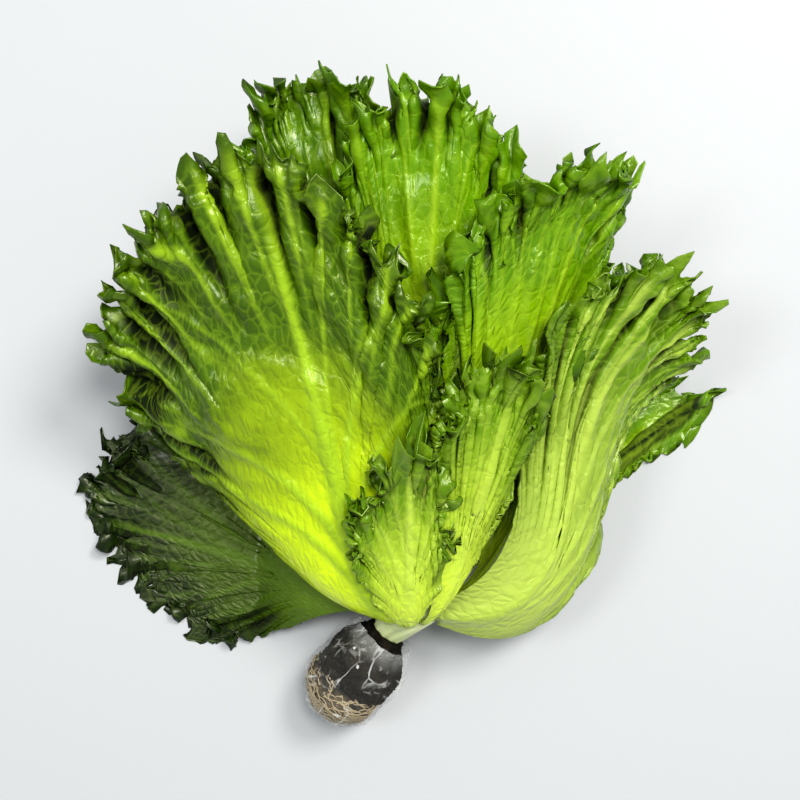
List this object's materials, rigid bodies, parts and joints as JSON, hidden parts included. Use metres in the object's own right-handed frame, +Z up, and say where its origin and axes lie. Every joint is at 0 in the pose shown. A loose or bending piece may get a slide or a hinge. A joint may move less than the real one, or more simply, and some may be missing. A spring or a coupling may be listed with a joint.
{
  "type": "lettuce",
  "caption": "Loose head of lollo bionda lettuce with ruffled pale-green leaves, lying on its side with its root plug in clear film.",
  "frame": {"origin": "on the table under the middle of the head's bounding box", "axes": "+Z up from the table the head lies on, +Y from the root plug towards the leaf tips, +X to the right of the broad left leaf"},
  "size_m": [0.2972, 0.2895, 0.1254],
  "materials": {
    "leaf_left": "glossy",
    "leaf_right": "glossy",
    "leaf_top": "glossy",
    "leaf_slant": "glossy",
    "leaf_top_left": "glossy",
    "leaf_front": "glossy",
    "leaf_pale": "glossy",
    "leaf_mid_left": "glossy",
    "leaf_mid_right": "glossy",
    "leaf_far_left": "glossy",
    "leaf_far_right": "glossy",
    "leaf_under_left": "glossy",
    "leaf_under_right": "glossy",
    "leaf_under_mid": "glossy",
    "heart": "glossy",
    "stem": "satin",
    "peat_plug": "matte",
    "root_mat": "matte",
    "film_wrap": "clear"
  },
  "bodies": {
    "root": {"leaf_left": "leaf_left", "leaf_right": "leaf_right", "leaf_top": "leaf_top", "leaf_slant": "leaf_slant", "leaf_top_left": "leaf_top_left", "leaf_front": "leaf_front", "leaf_pale": "leaf_pale", "leaf_mid_left": "leaf_mid_left", "leaf_mid_right": "leaf_mid_right", "leaf_far_left": "leaf_far_left", "leaf_far_right": "leaf_far_right", "leaf_under_left": "leaf_under_left", "leaf_under_right": "leaf_under_right", "leaf_under_mid": "leaf_under_mid", "heart": "heart", "stem": "stem", "peat_plug": "peat_plug", "root_mat": "root_mat", "film_wrap": "film_wrap"}
  },
  "joints": []
}
